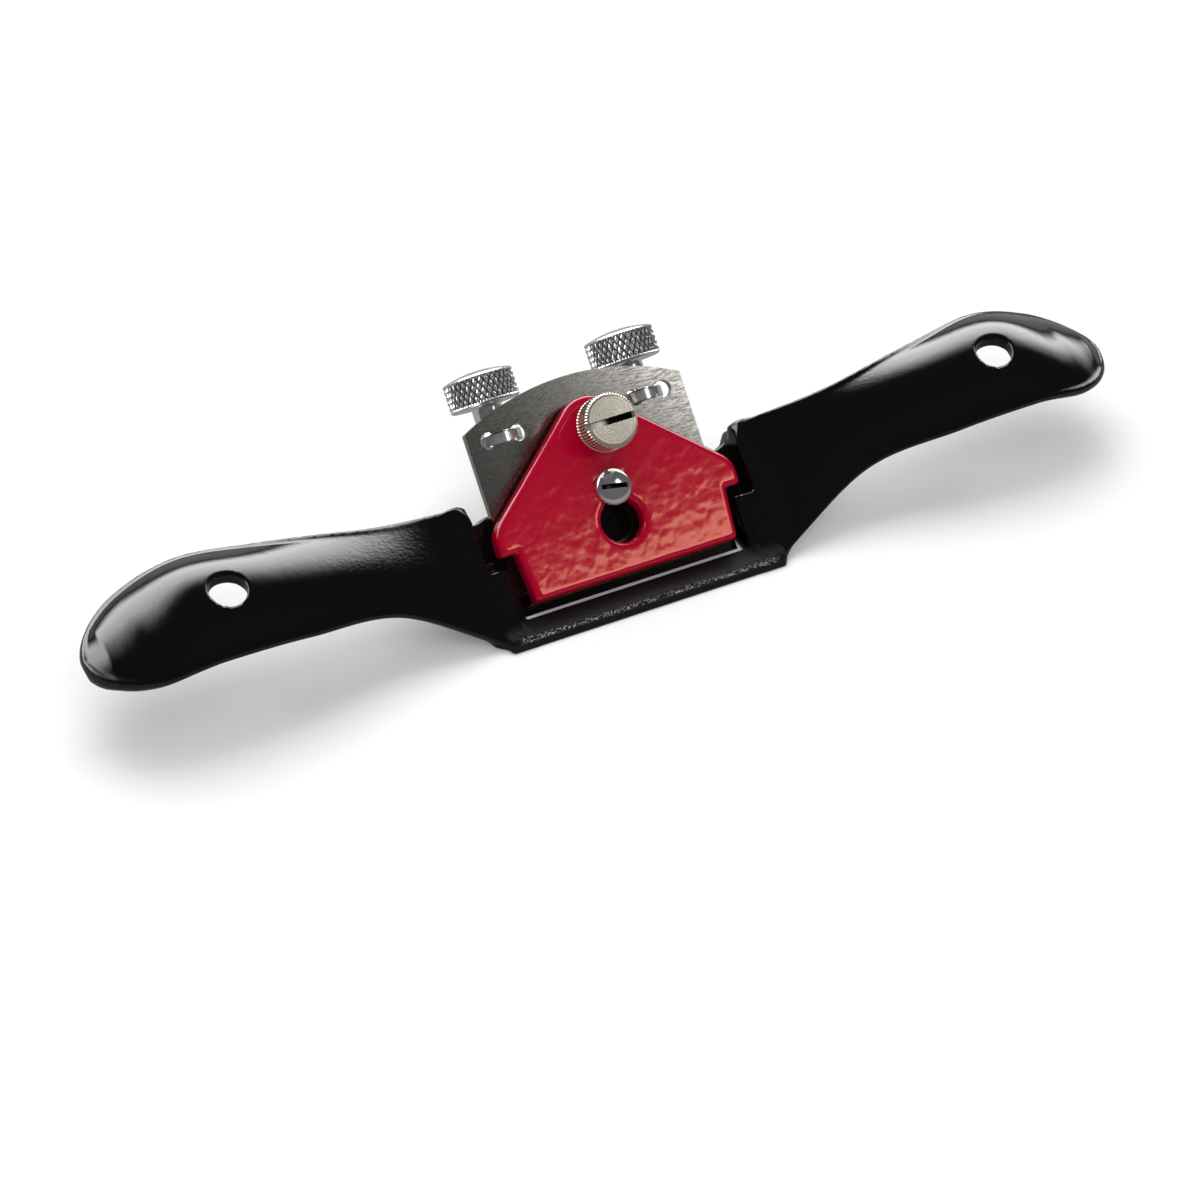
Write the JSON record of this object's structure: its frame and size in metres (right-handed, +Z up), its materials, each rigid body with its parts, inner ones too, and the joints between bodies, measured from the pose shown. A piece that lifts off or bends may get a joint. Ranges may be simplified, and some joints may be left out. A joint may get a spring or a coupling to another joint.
{
  "type": "spokeshave",
  "caption": "Metal spokeshave with gull-wing handles, a flat sole, a cutting iron set by knurled adjusting nuts and a lever cap with a thumb screw.",
  "frame": {"origin": "on the sole, at the middle of the mouth's front lip", "axes": "+X along the handles towards the right-hand handle, +Y from the toe to the heel, +Z up from the sole"},
  "size_m": [0.2532, 0.0595, 0.0435],
  "materials": {
    "black_enamel": "gloss stoved enamel on cast iron, slightly rippled",
    "red_enamel": "gloss stoved enamel on cast iron, orange peel",
    "iron_steel": "ground and hardened tool steel, satin",
    "bright_plate": "bright nickel plate, knurled",
    "screw_steel": "polished steel",
    "pale_brass": "turned, pale nickelled brass"
  },
  "bodies": {
    "frame": {"body_casting": "black_enamel", "lever_cap_screw": "screw_steel", "adjuster_stud_left": "screw_steel", "adjuster_stud_right": "screw_steel"},
    "iron": {"cutting_iron": "iron_steel"},
    "nut_left": {"adjusting_nut_left": "bright_plate"},
    "nut_right": {"adjusting_nut_right": "bright_plate"},
    "cap": {"lever_cap": "red_enamel"},
    "thumb": {"thumb_screw": "pale_brass"}
  },
  "joints": [
    {"name": "iron_feed", "type": "slide", "parent": "frame", "child": "iron", "axis": [0, 0.7071, 0.7071], "range_m": [-0.001, 0.0025]},
    {"name": "nut_left_turn", "type": "hinge", "parent": "iron", "child": "nut_left", "pos_m": [-0.0178, 0.03361, 0.0239], "axis": [0, 0.7071, 0.7071], "range_deg": [-450, 1125]},
    {"name": "nut_right_turn", "type": "hinge", "parent": "iron", "child": "nut_right", "pos_m": [0.0178, 0.03361, 0.0239], "axis": [0, 0.7071, 0.7071], "range_deg": [-450, 1125]},
    {"name": "lever_cap_slide", "type": "slide", "parent": "frame", "child": "cap", "axis": [0, 0.7071, 0.7071], "range_m": [0, 0.0077]},
    {"name": "thumb_screw_turn", "type": "hinge", "parent": "cap", "child": "thumb", "pos_m": [0, 0.02583, 0.02503], "axis": [0, -0.7071, 0.7071], "range_deg": [0, 540]}
  ],
  "couplings": [
    {"joint": "nut_left_turn", "follows": "iron_feed", "rad_per_m": 7854},
    {"joint": "nut_right_turn", "follows": "iron_feed", "rad_per_m": 7854}
  ]
}
